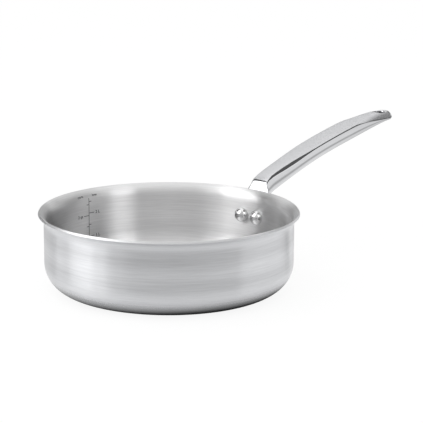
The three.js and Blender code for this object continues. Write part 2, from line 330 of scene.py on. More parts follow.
def carve(piece, cutters):
    """Cuts a piece with closed bodies and removes them."""
    for cutter in cutters:
        cut = piece.modifiers.new("Cut", "BOOLEAN")
        cut.operation = "DIFFERENCE"
        cut.solver = "EXACT"
        cut.object = cutter
    settle(piece)
    drop_slivers(piece.data)
    for cutter in cutters:
        mesh = cutter.data
        bpy.data.objects.remove(cutter)
        bpy.data.meshes.remove(mesh)


def declare(piece, slot_name, *nodes):
    """Ties a finished piece to the frame."""
    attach(piece, "root")
    if nodes:
        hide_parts(*nodes)


# --- Node trees ---

NOISE_LOW, NOISE_HIGH = 0.3, 0.7
WHITE = (1, 1, 1, 1)
# Where nodes stand in the editor: columns in a row, the first place, and the steps to the next.
COLUMNS, FIRST_X, FIRST_Y, STEP_X, STEP_Y = 14, -1300, 400, 190, 260


class NodeKit:
    """Adds nodes to a tree and links them, for shaders and Geometry Nodes alike."""

    def __init__(self, tree):
        self.tree = tree
        self.count = 0

    def add(self, kind, inputs=None, **settings):
        """A node of a kind. inputs maps a socket's name or index to a value or another socket."""
        node = self.tree.nodes.new(kind)
        row, column = divmod(self.count, COLUMNS)
        node.location = (FIRST_X + STEP_X * column, FIRST_Y - STEP_Y * row)
        self.count += 1
        for key, value in settings.items():
            setattr(node, key, value)
        for key, value in (inputs or {}).items():
            if isinstance(value, bpy.types.NodeSocket):
                self.tree.links.new(value, node.inputs[key])
            else:
                node.inputs[key].default_value = value
        return node

    def out(self, kind, inputs=None, **settings):
        """The first output of a new node."""
        return self.add(kind, inputs, **settings).outputs[0]

    def math(self, operation, *values):
        return self.out("ShaderNodeMath", dict(enumerate(values)), operation=operation)

    def plus(self, a, b):
        return self.math("ADD", a, b)

    def minus(self, a, b):
        return self.math("SUBTRACT", a, b)

    def times(self, a, b):
        return self.math("MULTIPLY", a, b)

    def combine(self, x, y, z):
        return self.out("ShaderNodeCombineXYZ", {0: x, 1: y, 2: z})

    def separate(self, vector):
        return self.add("ShaderNodeSeparateXYZ", {0: vector}).outputs

    def remap(self, value, from_low, from_high, to_low, to_high, **settings):
        return self.out("ShaderNodeMapRange", {0: value, 1: from_low, 2: from_high, 3: to_low,
                                               4: to_high}, **settings)


class ShaderKit(NodeKit):
    """The emptied shader tree of a material or a world."""

    def __init__(self, owner):
        owner.use_nodes = True
        owner.node_tree.nodes.clear()
        super().__init__(owner.node_tree)
        self.owner = owner

    def place(self):
        return self.add("ShaderNodeTexCoord").outputs["Object"]

    def vector(self, operation, a, b):
        return self.add("ShaderNodeVectorMath", {0: a, 1: b}, operation=operation).outputs["Value"]

    def noise(self, vector, scale, detail, roughness):
        return self.add("ShaderNodeTexNoise", {"Vector": vector, "Scale": scale, "Detail": detail,
                                               "Roughness": roughness}).outputs["Fac"]

    def blend(self, a, share_a, b, share_b):
        return self.plus(self.times(a, share_a), self.times(b, share_b))

    def spread(self, noise, low, high):
        """A noise's usual range, spread over another."""
        return self.remap(noise, NOISE_LOW, NOISE_HIGH, low, high)

    def shades(self, value, colour, low, high):
        """A colour times a factor from low to high, by a value that may pass 0 and 1."""
        mix = self.add("ShaderNodeMix", {0: value}, data_type="RGBA", clamp_factor=False)
        for socket, factor in ((6, low), (7, high)):
            mix.inputs[socket].default_value = (*(c * factor for c in colour), 1)
        return mix.outputs[2]

    def bump(self, height, strength, distance):
        return self.out("ShaderNodeBump", {"Strength": strength, "Distance": distance,
                                           "Height": height})

    def glow(self, level):
        return self.out("ShaderNodeEmission", {"Color": WHITE, "Strength": level})

    def end(self, shader):
        """Makes a shader the material's surface."""
        self.add("ShaderNodeOutputMaterial", {"Surface": shader})
        return self.owner

    def metal(self, colour, roughness, more):
        """Ends the material in a metal surface."""
        return self.end(self.out("ShaderNodeBsdfPrincipled", {
            "Base Color": colour, "Roughness": roughness, "Metallic": 1.0, **more}))


def material_kit(name):
    return ShaderKit(bpy.data.materials.new(name))


def spun_steel(name, colour, roughness, stretch, band_depth, foot_polish):
    """Sheet brushed in rings round the pan's axis, with the soft bands that the brush leaves, and
    regular lighter and darker bands up the wall.
    """
    kit = material_kit(name)
    x, y, z = kit.separate(kit.place())
    radius = kit.math("SQRT", kit.plus(kit.times(x, x), kit.times(y, y)))
    across = kit.plus(radius, z)

    def rings(along, cross, detail, fineness):
        where = kit.combine(kit.times(x, along), kit.times(y, along), kit.times(across, cross))
        return kit.noise(where, 1.0, detail, fineness)

    grooves = rings(along=22.0, cross=620.0, detail=5.0, fineness=0.7)
    bands = rings(along=5.0, cross=150.0, detail=2.0, fineness=0.55)
    blend = kit.blend(grooves, 0.78, bands, 0.22)
    # Lighter and darker bands up the wall: a cosine in height about a given level and pitch.
    swell_level, swell_pitch = 43.5 * MM, 24.5 * MM
    swell = kit.math("COSINE", kit.times(kit.minus(z, swell_level), 2 * math.pi / swell_pitch))
    tone = kit.plus(kit.spread(blend, 0.0, 1.0), kit.times(swell, band_depth))
    worn_below, worn_above = 5 * MM, 17 * MM
    worn = kit.remap(z, worn_below, worn_above, foot_polish, 1.0)
    uneven, quarter_turn = 0.03, 0.25
    return kit.metal(
        kit.shades(tone, colour, low=0.89, high=1.11),
        kit.times(worn, kit.spread(blend, roughness - uneven, roughness + uneven)),
        {"Normal": kit.bump(grooves, strength=0.05, distance=0.0002),
         "Tangent": kit.out("ShaderNodeTangent", direction_type="RADIAL", axis="Z"),
         "Anisotropic": stretch, "Anisotropic Rotation": quarter_turn})


def polished_steel(name, colour, roughness):
    """Buffed steel with faint waves and wipe marks."""
    kit = material_kit(name)
    place = kit.place()
    waves = kit.noise(place, scale=55.0, detail=2.0, roughness=0.5)
    along_x = (60, 600, 600)
    drawn = kit.out("ShaderNodeMapping", {"Vector": place, "Scale": along_x})
    wipes = kit.noise(drawn, scale=1.0, detail=4.0, roughness=0.6)
    return kit.metal(kit.shades(kit.spread(wipes, 0, 1), colour, low=0.965, high=1.035),
                     kit.spread(wipes, low=roughness * 0.8, high=roughness * 1.25),
                     {"Normal": kit.bump(waves, strength=0.03, distance=0.002)})


def satin_steel(name, colour, roughness, polish, end):
    """The handle's top face, brushed across its length and buffed towards its end.
    Its UV map runs along the handle in metres."""
    kit = material_kit(name)
    along, side, _ = kit.separate(kit.out("ShaderNodeUVMap", uv_map="along"))

    def grain(lengthwise, crosswise, layer, detail, fineness):
        where = kit.combine(kit.times(along, lengthwise), kit.times(side, crosswise), layer)
        return kit.noise(where, 1.0, detail, fineness)

    strokes = grain(lengthwise=2400.0, crosswise=60.0, layer=0.0, detail=3.0, fineness=0.65)
    patches = grain(lengthwise=90.0, crosswise=40.0, layer=4.0, detail=2.0, fineness=0.5)
    blend = kit.blend(strokes, 0.65, patches, 0.35)
    x = kit.separate(kit.place())[0]
    buffed_from, buffed_to = end - 9 * MM, end - 2.5 * MM
    buffed = kit.remap(x, buffed_from, buffed_to, 0.0, polish - roughness)
    uneven = 0.04
    return kit.metal(
        kit.shades(kit.spread(blend, 0, 1), colour, low=0.95, high=1.05),
        kit.plus(kit.spread(blend, roughness - uneven, roughness + uneven), buffed),
        {"Normal": kit.bump(strokes, strength=0.002, distance=0.0002),
         "Tangent": kit.out("ShaderNodeTangent", direction_type="UV_MAP", uv_map="along"),
         "Anisotropic": 0.6})


def bare_aluminium(name, colour):
    """The cut edge of the core."""
    kit = material_kit(name)
    grain = kit.noise(kit.place(), scale=1400.0, detail=3.0, roughness=0.6)
    return kit.metal(kit.shades(kit.spread(grain, 0, 1), colour, low=0.9, high=1.0),
                     kit.spread(grain, low=0.34, high=0.48), {})


def etched_print(name, colour):
    """Matt dark marks, a little uneven."""
    kit = material_kit(name)
    grain = kit.noise(kit.place(), scale=2500.0, detail=2.0, roughness=0.6)
    return kit.metal(kit.shades(grain, colour, low=0.75, high=1.3),
                     kit.spread(grain, low=0.5, high=0.7), {"Metallic": 0.25})


class TreeKit(NodeKit):
    """A Geometry Nodes tree with named inputs, set on the modifier that runs it."""

    def __init__(self, name):
        super().__init__(bpy.data.node_groups.new(name, "GeometryNodeTree"))
        for way in ("INPUT", "OUTPUT"):
            self.tree.interface.new_socket("Geometry", in_out=way, socket_type="NodeSocketGeometry")
        self.given = self.tree.nodes.new("NodeGroupInput")
        self.given.location = (FIRST_X - 1.5 * STEP_X, FIRST_Y)
        self.values = {}

    def input(self, name, value, kind="NodeSocketFloat"):
        """A new named input with its value; gives the socket to link from."""
        made = self.tree.interface.new_socket(name, in_out="INPUT", socket_type=kind)
        self.values[made.identifier] = value
        return self.given.outputs[made.identifier]

    def place(self):
        return self.separate(self.out("GeometryNodeInputPosition"))

    def moved(self, geometry, **to):
        """Geometry with its points moved: Position is where to, Offset how far."""
        return self.out("GeometryNodeSetPosition", {"Geometry": geometry, **to})

    def turned(self, geometry, *turns):
        return self.out("GeometryNodeTransform", {"Geometry": geometry, "Rotation": turns})

    def join(self, *geometries):
        node = self.add("GeometryNodeJoinGeometry")
        for geometry in geometries:
            self.tree.links.new(geometry, node.inputs[0])
        return node.outputs[0]

    def run(self, piece, geometry, material):
        """Ends the tree in plain geometry with one material, and gives its result to a piece."""
        coat = self.input("Material", material, "NodeSocketMaterial")
        real = self.out("GeometryNodeRealizeInstances", {0: geometry})
        coated = self.out("GeometryNodeSetMaterial", {"Geometry": real, "Material": coat})
        self.add("NodeGroupOutput", {0: coated})
        modifier = piece.modifiers.new(self.tree.name, "NODES")
        modifier.node_group = self.tree
        for identifier, value in self.values.items():
            modifier[identifier] = value
        settle(piece)
        tidy_mesh(piece.data)


# --- Pan body ---

# Where the flat floor and the straight wall have points, as shares of their runs.
FLOOR_SHARES = (0.06, 0.2, 0.4, 0.6, 0.8, 0.93, 0.985)
WALL_SHARES = (0.015, 0.08, 0.2, 0.4, 0.6, 0.8, 0.92, 0.985)
CORNER_STEPS, FLARE_STEPS, LIP_STEPS = 28, 20, 6
SHEET_CREASE = 32


def sheet_thickness(s):
    return s.liner + s.core + s.skin


def wall_radius(s):
    return s.inner_diameter / 2


def flare_start(s):
    return s.height - s.flare_radius * math.sin(s.flare_angle)


def rim_radius(s):
    bend = s.flare_radius - sheet_thickness(s)
    return wall_radius(s) + sheet_thickness(s) + bend * (1 - math.cos(s.flare_angle))


def sheet_face(s, depth):
    """One face of the sheet as (radius, height), from the axis over floor, corner, wall and flare.
    depth is how far it lies behind the food side."""
    thickness = sheet_thickness(s)
    floor_edge = wall_radius(s) - s.corner_radius
    corner_height = thickness + s.corner_radius
    flare_centre = wall_radius(s) + s.flare_radius
    start = flare_start(s)
    bend, flare = s.corner_radius + depth, s.flare_radius - depth
    face = [(floor_edge * part, thickness - depth) for part in (0.0, *FLOOR_SHARES)]
    face += [(floor_edge + bend * math.sin(turn), corner_height - bend * math.cos(turn))
             for turn in steps(0, QUARTER, CORNER_STEPS)]
    face += [(wall_radius(s) + depth, lerp(corner_height, start, part)) for part in WALL_SHARES]
    face += [(flare_centre - flare * math.cos(turn), start + flare * math.sin(turn))
             for turn in steps(0, s.flare_angle, FLARE_STEPS)]
    return face


def rounded_lip(s, face, side):
    """The end of a face, rounded towards the cut lip. side is 1 on the food side, -1 outside."""
    run = Vector((math.sin(s.flare_angle), math.cos(s.flare_angle)))
    inward = Vector((math.cos(s.flare_angle), -math.sin(s.flare_angle))) * side
    radius = s.lip_rounding
    centre = Vector(face[-1]) - run * radius + inward * radius
    bend = [centre + (run * math.sin(turn) - inward * math.cos(turn)) * radius
            for turn in steps(0, QUARTER, LIP_STEPS)]
    return face[:-1] + [tuple(p) for p in bend]


def ply_outline(s, inner_depth, outer_depth):
    """The closed outline of one ply, with the lip rounded where it shows."""
    inner, outer = sheet_face(s, inner_depth), sheet_face(s, outer_depth)
    if inner_depth == 0:
        inner = rounded_lip(s, inner, 1)
    if outer_depth > s.liner + s.core:
        outer = rounded_lip(s, outer, -1)
    return outer + inner[::-1]


def rivet_turn(s, r):
    return math.asin(r.spacing / 2 / wall_radius(s))


def rivet_height(s, r):
    return s.height - r.drop


def rivet_rods(s, r, diameter, start, end):
    return [rod("rivet_cut", diameter, start, end, turn, rivet_height(s, r))
            for turn in (-rivet_turn(s, r), rivet_turn(s, r))]


def shank_holes(s, r, end):
    return rivet_rods(s, r, r.shank_diameter + 2 * r.hole_clearance, wall_radius(s) / 2, end)


class PAN_OT_sheet(Operator):
    """Turns the three plies of the clad pan body and punches their rivet holes"""
    bl_idname = "saute_pan.sheet"
    bl_label = "Pan body"
    bl_options = {"UNDO"}

    def execute(self, context):
        s, r, f = context.scene.pan_sheet, context.scene.pan_rivets, context.scene.pan_finish
        gloss = f.wall_roughness, f.wall_stretch
        liner_back, core_back = s.liner, s.liner + s.core
        plies = (
            ("pan_liner", "inner_liner", 0.0, liner_back,
             spun_steel("brushed_liner", f.liner, *gloss, band_depth=0.12, foot_polish=1.0)),
            ("pan_core", "aluminium_core", liner_back, core_back,
             bare_aluminium("bare_core", f.aluminium)),
            ("pan_skin", "outer_skin", core_back, sheet_thickness(s),
             spun_steel("brushed_skin", f.steel, *gloss, band_depth=0.3, foot_polish=0.42)),
        )
        for name, node, inner, outer, material in plies:
            piece = lathe(name, ply_outline(s, inner, outer), s.turn_steps)
            carve(piece, shank_holes(s, r, rim_radius(s)))
            piece.data.materials.clear()
            piece.data.materials.append(material)
            shade(piece.data, SHEET_CREASE)
            declare(piece, node, node)
        return {"FINISHED"}


# --- Handle ---

FLANGE_CUTS, NECK_CUTS, GRIP_CUTS, NOSE_CUTS = 20, 56, 120, 26
FACE_POINTS, EDGE_POINTS, BELLY_POINTS = 25, 7, 45
SLOT_POINTS, SLOT_STEPS, CURVE_STEPS = 24, 6, 600
EASING, EASED_FROM = 14, 4
HANDLE_CREASE = 30
# Powers: of the crown across the top face, of the end's side view, and of a section's sides,
# where 2 is an ellipse and more is squarer.
CROWN_FLATNESS, NOSE_BLUNTNESS = 3.0, 0.38
FLANGE_FULLNESS, GRIP_FULLNESS, END_FULLNESS = 5.0, 2.6, 2.2
# How far each end's slope holds along the grip's two side curves, as shares of its span.
TOP_PULLS, BELLY_PULLS = (0.25, 0.17), (0.43, 0.45)
# Shares of the grip: where its end takes shape, and where its edges' chamfer grows and thins out.
TAIL, CHAMFER_GROWS, CHAMFER_THINS = (0.7, 0.98), (0.0, 0.1), (0.14, 0.36)
CHAMFER_AT_ROOT, WIDENING = 0.7, 6
# The satin top begins at a share of the neck, and ends at a turn of the rounded end, in radians.
SATIN_FROM, SATIN_TURN, NOSE_TURN = 0.7, 1.25, 1.5
# The neck's front: where it leaves the wall, how far up it narrows, and points round its corner.
LIFT_OFF, NARROWING, CORNER_LEAN = (0.35, 0.75), 0.62, 1.5
CORNER_PAST, CORNER_AFTER = Vector((0.2, -0.1)), (0.3, 0.36)
# The flange: how its cuts crowd downwards, how fast it reaches its full width, and what shares of
# its width and thickness its lower end keeps and loses.
CROWDING, FLANGE_ROUND, FLANGE_LEAST, FLANGE_THINNING = 1.6, (0.12, 1.5), 0.45, 0.5
# Points across an edge's flat, where it bends into the side, and where the side begins under it.
EDGE_FLAT, EDGE_BEND, SIDE_START = (0.08, 0.3), 0.55, 0.6
# A level inside the handle's end, and how far the slot's cutter reaches from it.
SLOT_LEVEL, SLOT_REACH = 0.125, 0.05


@dataclass
class Cut:
    """One section of the handle. top and belly are its ends in side view, as (x, z)."""
    top: Vector
    belly: Vector
    half_width: float
    crown: float
    chamfer: float
    fullness: float
    soft: float = 0.0
    satin: bool = False


EASED = ("top", "belly", "half_width", "crown", "chamfer", "fullness", "soft")


def bezier(points, t):
    """A point on the Bezier curve of any degree."""
    while len(points) > 1:
        points = [a.lerp(b, t) for a, b in zip(points, points[1:])]
    return points[0]


def distances(points):
    """How far along a row of points each one lies."""
    run = [0.0]
    for a, b in zip(points, points[1:]):
        run.append(run[-1] + (b - a).length)
    return run


def evenly(curve, count):
    """count + 1 points at even distances along a curve, which takes a share from 0 to 1."""
    fine = [curve(t) for t in steps(0, 1, CURVE_STEPS)]
    run = distances(fine)
    points, k = [], 0
    for wanted in steps(0, run[-1], count):
        while k < len(fine) - 2 and run[k + 1] < wanted:
            k += 1
        part = (wanted - run[k]) / (run[k + 1] - run[k])
        points.append(fine[k].lerp(fine[k + 1], min(1.0, part)))
    return points


def through(points, t):
    """A point on the smooth curve through a row of points."""
    place = t * (len(points) - 1)
    i = min(int(place), len(points) - 2)
    w = place - i
    a, b = points[i], points[i + 1]
    before, after = points[max(i - 1, 0)], points[min(i + 2, len(points) - 1)]
    start, end = (b - before) / 2, (after - a) / 2
    return (a * (2 * w ** 3 - 3 * w ** 2 + 1) + b * (3 * w ** 2 - 2 * w ** 3)
            + start * (w ** 3 - 2 * w ** 2 + w) + end * (w ** 3 - w ** 2))


def side_curve(start, start_slope, end, end_slope, pulls):
    """A curve in side view that leaves and arrives at given slopes."""
    span = end.x - start.x
    lead = Vector((1, math.tan(start_slope))) * span * pulls[0]
    trail = Vector((1, math.tan(end_slope))) * span * pulls[1]
    control = [start, start + lead, end - trail, end]
    return lambda t: bezier(control, t)


def flange_back(s, h):
    return wall_radius(s) + sheet_thickness(s) + h.seat_clearance + h.flange_thickness


def handle_end(s, h):
    return rim_radius(s) + h.reach


def flange_cuts(s, h, r):
    """Level cuts of a rounded plate against the wall, whose seat is cut afterwards."""
    half = r.spacing / 2 + h.flange_side_edge
    low = rivet_height(s, r) - h.flange_lower_edge
    high = rivet_height(s, r) + h.flange_upper_edge
    cuts = []
    for t in steps(0, 1, FLANGE_CUTS - 1):
        up = t ** CROWDING
        short = 1 - min(1.0, FLANGE_ROUND[0] + up * FLANGE_ROUND[1])
        roundness = math.sqrt(1 - short ** 2)
        z = lerp(low, high, up)
        back = flange_back(s, h) - h.flange_thickness * FLANGE_THINNING * (1 - roundness)
        cuts.append(Cut(Vector((wall_radius(s), z)), Vector((back, z)),
                        half * lerp(FLANGE_LEAST, 1, roundness), 0.0, h.flange_chamfer,
                        FLANGE_FULLNESS))
    return cuts


def neck_cuts(s, h, start, root):
    """Cuts that fan round from the level flange to the leaning root of the grip."""
    front = rim_radius(s) + h.rim_gap
    upright = s.height - h.rim_gap_depth
    corner = Vector((front + h.front_lean * CORNER_LEAN, root.top.y - h.corner_droop))
    corner.y -= (root.top.x - corner.x) * math.tan(h.top_start)
    path = [
        start.top,
        Vector((lerp(wall_radius(s), front, LIFT_OFF[0]),
                lerp(start.top.y, flare_start(s), LIFT_OFF[1]))),
        Vector((front, upright)),
        Vector((front + h.front_lean, corner.y - h.corner_rounding)),
        corner + CORNER_PAST * h.corner_rounding,
        Vector((lerp(corner.x, root.top.x, CORNER_AFTER[0]),
                lerp(corner.y, root.top.y, CORNER_AFTER[1]))),
        root.top,
    ]
    knee = root.belly.y - (root.belly.x - start.belly.x) * math.tan(h.belly_start)
    back = [start.belly, Vector((start.belly.x, knee)), root.belly]
    cuts = []
    for t in steps(0, 1, NECK_CUTS)[1:-1]:
        top = through(path, t)
        to_rim = smoothstep(top.y, start.top.y, s.height)
        over_rim = smoothstep(top.y, upright, s.height + h.root_rise * NARROWING)
        over_corner = smoothstep(top.y, corner.y - 2 * h.corner_rounding, corner.y)
        to_root = smoothstep(top.x, corner.x, root.top.x)
        foot = lerp(start.half_width, h.rim_level_width / 2, to_rim)
        edge = lerp(lerp(start.chamfer, h.neck_rounding, to_rim),
                    lerp(h.corner_chamfer, root.chamfer, to_root), over_corner)
        cuts.append(Cut(top, bezier(back, t), lerp(foot, h.neck_width / 2, over_rim),
                        lerp(0, h.grip_crown, t), edge, lerp(start.fullness, root.fullness, t),
                        to_rim * (1 - over_corner), t > SATIN_FROM))
    return cuts


def grip_cuts(s, h):
    """An arched bar whose edge line drops away from the crown towards the end."""
    root_top = Vector((rim_radius(s) + h.root_setback, s.height + h.root_rise))
    root_belly = root_top + Vector((math.sin(h.top_start), -1)) * h.neck_depth
    end_top = Vector((handle_end(s, h) - h.grip_width / 2, s.height + h.end_rise))
    end_belly = end_top - Vector((0, h.end_depth))
    tops = side_curve(root_top, h.top_start, end_top, h.top_end, TOP_PULLS)
    bellies = side_curve(root_belly, h.belly_start, end_belly, h.belly_end, BELLY_PULLS)
    cuts = []
    for t, top, belly in zip(steps(0, 1, GRIP_CUTS), evenly(tops, GRIP_CUTS),
                             evenly(bellies, GRIP_CUTS)):
        tail = smoothstep(t, *TAIL)
        grown = lerp(CHAMFER_AT_ROOT, 1, smoothstep(t, *CHAMFER_GROWS))
        cuts.append(Cut(top, belly, lerp(h.neck_width, h.grip_width, 1 - (1 - t) ** WIDENING) / 2,
                        lerp(h.grip_crown, h.end_crown, tail),
                        lerp(h.root_chamfer * grown, h.grip_chamfer, smoothstep(t, *CHAMFER_THINS)),
                        lerp(GRIP_FULLNESS, END_FULLNESS, tail), satin=True))
    return cuts


def nose_cuts(s, h, last):
    """The rounded end: the last cut of the grip, shrunk along a quarter circle."""
    reach = handle_end(s, h) - last.top.x
    middle = last.top.lerp(last.belly, 0.5)
    cuts = []
    for turn in steps(0, NOSE_TURN, NOSE_CUTS)[1:]:
        shrink = math.cos(turn)
        thin = shrink ** NOSE_BLUNTNESS
        forward = Vector((reach * math.sin(turn) / math.sin(NOSE_TURN), 0))
        cuts.append(replace(last, top=middle.lerp(last.top, thin) + forward,
                            belly=middle.lerp(last.belly, thin) + forward,
                            half_width=last.half_width * shrink, crown=last.crown * shrink,
                            chamfer=last.chamfer * shrink, satin=turn < SATIN_TURN))
    return cuts


def eased(cuts, passes):
    """Irons out the kinks where two stretches of cuts meet. The flange's lower end stays."""
    for _ in range(passes):
        smooth = list(cuts)
        for i in range(EASED_FROM, len(cuts) - 1):
            rows = [[getattr(cut, name) for cut in cuts[i - 1:i + 2]] for name in EASED]
            smooth[i] = replace(cuts[i], **{name: (a + b * 2 + c) / 4
                                            for name, (a, b, c) in zip(EASED, rows)})
        cuts = smooth
    return cuts


def cut_ring(cut):
    """One closed ring of points: the top face from +Y to -Y, an edge, the belly, the other edge."""
    down = cut.belly - cut.top
    depth = down.length
    down.normalize()
    half, chamfer = cut.half_width, cut.chamfer
    edge_drop, face_half = cut.crown + chamfer, half - chamfer
    power = 2 / cut.fullness
    below = max(depth - edge_drop, DOUBLE)
    first = math.asin(min(1.0, (SIDE_START * chamfer / below) ** (cut.fullness / 2)))
    face = [(face_half * a, cut.crown * abs(a) ** CROWN_FLATNESS)
            for a in steps(1, -1, FACE_POINTS - 1)]
    belly = [(-half * math.copysign(abs(math.cos(turn)) ** power, math.cos(turn)),
              edge_drop + below * math.sin(turn) ** power)
             for turn in steps(first, math.pi - first, BELLY_POINTS - 1)]
    corner, top_edge = Vector((-half, edge_drop)), Vector((-face_half, cut.crown))
    rounding = [top_edge.lerp(corner, EDGE_BEND), corner, Vector(belly[0])]
    edge = [top_edge.lerp(corner, part) for part in EDGE_FLAT]
    edge += [bezier(rounding, t) for t in steps(0, 1, EDGE_POINTS - 3)][:-1]
    arc = [Vector((-face_half - chamfer * math.sin(turn),
                   cut.crown + chamfer * (1 - math.cos(turn))))
           for turn in steps(0, QUARTER, EDGE_POINTS - 1)[1:]]
    edge = [tuple(p.lerp(q, cut.soft)) for p, q in zip(edge, arc)]
    outline = face + edge + belly + [(-y, drop) for y, drop in reversed(edge)]
    return [Vector((cut.top.x + down.x * drop, y, cut.top.y + down.y * drop))
            for y, drop in outline]


def handle_loft(cuts):
    """A closed skin over the cuts. Faces between the top face's points take the satin finish, and
    a UV map holds each point's way along the handle and its y."""
    rings = [cut_ring(cut) for cut in cuts]
    rows, count = len(rings), len(rings[0])
    points = [p for ring in rings for p in ring]
    run = [way for way in distances([cut.top for cut in cuts]) for _ in range(count)]
    faces = quads(rows, count)
    satin = [cut.satin and j < FACE_POINTS - 1 for cut in cuts[:-1] for j in range(count)]
    for i in (0, rows - 1):
        hub = len(points)
        points.append(sum(rings[i], Vector()) / count)
        run.append(run[i * count])
        faces += [(hub, i * count + j, i * count + (j + 1) % count) for j in range(count)]
        satin += [False] * count
    mesh = plain_mesh("handle_casting", points, faces)
    mesh.polygons.foreach_set("material_index", [int(flag) for flag in satin])
    layer = mesh.uv_layers.new(name="along")
    for loop in mesh.loops:
        layer.data[loop.index].uv = (run[loop.vertex_index], points[loop.vertex_index].y)
    with edited(mesh) as bm:
        bmesh.ops.recalc_face_normals(bm, faces=bm.faces)
    return mesh


def slot_outline(s, h, grow):
    """The hanging slot's outline as (x, y), a long hole with round ends."""
    radius = h.slot_width / 2
    far = handle_end(s, h) - h.slot_end_wall - radius
    near = far - (h.slot_length - h.slot_width)
    radius += grow
    return [(centre + radius * math.cos(start + turn), radius * math.sin(start + turn))
            for centre, start in ((far, -QUARTER), (near, QUARTER))
            for turn in steps(0, math.pi, SLOT_POINTS)]


def slot_cutter(s, h, mesh):
    """The hanging slot with both its edges rounded: it widens where it meets the surface."""
    tree = BVHTree.FromPolygons([v.co for v in mesh.vertices], [p.vertices for p in mesh.polygons])

    def surface(x, y, sense):
        outside = Vector((x, y, SLOT_LEVEL + SLOT_REACH * sense))
        hit = tree.ray_cast(outside, Vector((0, 0, -sense)))[0]
        if hit is None:
            raise RuntimeError("The hanging slot runs past the handle's end")
        return hit.z

    def rounded_edge(sense):
        """Rings from the slot's wall out over its edge, ending beyond the handle."""
        rings = []
        for turn in steps(0, QUARTER, SLOT_STEPS):
            outline = slot_outline(s, h, h.slot_rounding * (1 - math.cos(turn)))
            depth = h.slot_rounding * (1 - math.sin(turn))
            rings.append([(x, y, surface(x, y, sense) - sense * depth) for x, y in outline])
        beyond = SLOT_LEVEL + sense * SLOT_REACH
        return rings + [[(x, y, beyond) for x, y in slot_outline(s, h, h.slot_rounding)]]

    return tube("slot_cut", rounded_edge(-1)[::-1] + rounded_edge(1))


class PAN_OT_handle(Operator):
    """Lofts the cast handle and cuts its seat, its hanging slot and its rivet holes"""
    bl_idname = "saute_pan.handle"
    bl_label = "Cast handle"
    bl_options = {"UNDO"}

    def execute(self, context):
        scene = context.scene
        s, h, r, f = scene.pan_sheet, scene.pan_handle, scene.pan_rivets, scene.pan_finish
        end, back = handle_end(s, h), flange_back(s, h)
        flange, grip = flange_cuts(s, h, r), grip_cuts(s, h)
        cuts = eased(flange + neck_cuts(s, h, flange[-1], grip[0]) + grip, EASING)
        cuts += nose_cuts(s, h, cuts[-1])
        mesh = handle_loft(cuts)
        mesh.materials.append(polished_steel("polished_casting", f.cast, f.polish_roughness))
        mesh.materials.append(satin_steel("satin_top", f.cast, f.satin_roughness,
                                          f.polish_roughness, end))
        piece = add_object("handle_casting", mesh)
        seat = sheet_face(s, sheet_thickness(s) + h.seat_clearance)
        spot = r.tail_diameter + 2 * r.spot_margin
        carve(piece, [lathe("seat_cut", seat + [(0.0, seat[-1][1])], s.turn_steps),
                      slot_cutter(s, h, mesh), *shank_holes(s, r, end),
                      *rivet_rods(s, r, spot, back, back + h.flange_thickness)])
        shade(piece.data, HANDLE_CREASE)
        declare(piece, "cast_handle", "cast_handle")
        return {"FINISHED"}


# --- Rivets ---

DOME_SEGMENTS, DOME_RINGS, SHANK_SIDES = 64, 32, 48
SHANK_OVERLAP = 1 * MM
HEAD_STANDOFF = 0.3  # of the seat clearance, between a head and the wall
RIVET_CREASE = 40


def rivet_pair(s, h, r, piece, material):
    """A rivet along +X, repeated to both sides of the handle: domed head, shank and upset tail."""
    kit = TreeKit("Rivet pair")
    head = r.head_diameter / 2
    wall = math.sqrt(wall_radius(s) ** 2 - head ** 2)
    head_radius = kit.input("Head Radius", head)
    head_height = kit.input("Head Height", r.head_height)
    head_seat = kit.input("Head Seat", wall - h.seat_clearance * HEAD_STANDOFF)
    tail_radius = kit.input("Tail Radius", r.tail_diameter / 2)
    tail_height = kit.input("Tail Height", r.tail_height)
    tail_seat = kit.input("Tail Seat", flange_back(s, h) + h.seat_clearance)
    shank_radius = kit.input("Shank Radius", r.shank_diameter / 2)
    half_turn = kit.input("Half Turn", rivet_turn(s, r))
    height = kit.input("Height", rivet_height(s, r))
    x, y, z = kit.place()

    def shaped(solid, along, radius):
        """A round solid of radius 1 about Z, laid along +X and brought to size."""
        to = kit.combine(along, kit.times(y, radius), kit.times(z, radius))
        return kit.moved(kit.turned(solid, 0, QUARTER, 0), Position=to)

    def dome(half, radius, rise, seat):
        ball = kit.out("GeometryNodeMeshUVSphere", {"Segments": DOME_SEGMENTS, "Rings": DOME_RINGS,
                                                    "Radius": 1.0})
        return shaped(ball, kit.plus(kit.times(kit.math(half, x, 0.0), rise), seat), radius)

    drum = kit.out("GeometryNodeMeshCylinder", {"Vertices": SHANK_SIDES, "Radius": 1.0,
                                                "Depth": 1.0})
    span = kit.plus(kit.minus(tail_seat, head_seat), SHANK_OVERLAP)
    middle = kit.times(kit.plus(tail_seat, head_seat), 0.5)
    shank = shaped(drum, kit.plus(kit.times(x, span), middle), shank_radius)
    one = kit.join(dome("MINIMUM", head_radius, head_height, head_seat),
                   dome("MAXIMUM", tail_radius, tail_height, tail_seat), shank)
    row = kit.out("GeometryNodeMeshLine", {"Count": 2, "Offset": (0, 0, 0),
                                           "Start Location": kit.combine(0.0, 0.0, height)})
    sense = kit.minus(kit.times(kit.out("GeometryNodeInputIndex"), 2.0), 1.0)
    turn = kit.out("FunctionNodeEulerToRotation",
                   {0: kit.combine(0.0, 0.0, kit.times(sense, half_turn))})
    pair = kit.out("GeometryNodeInstanceOnPoints", {"Points": row, "Instance": one,
                                                    "Rotation": turn})
    kit.run(piece, pair, material)


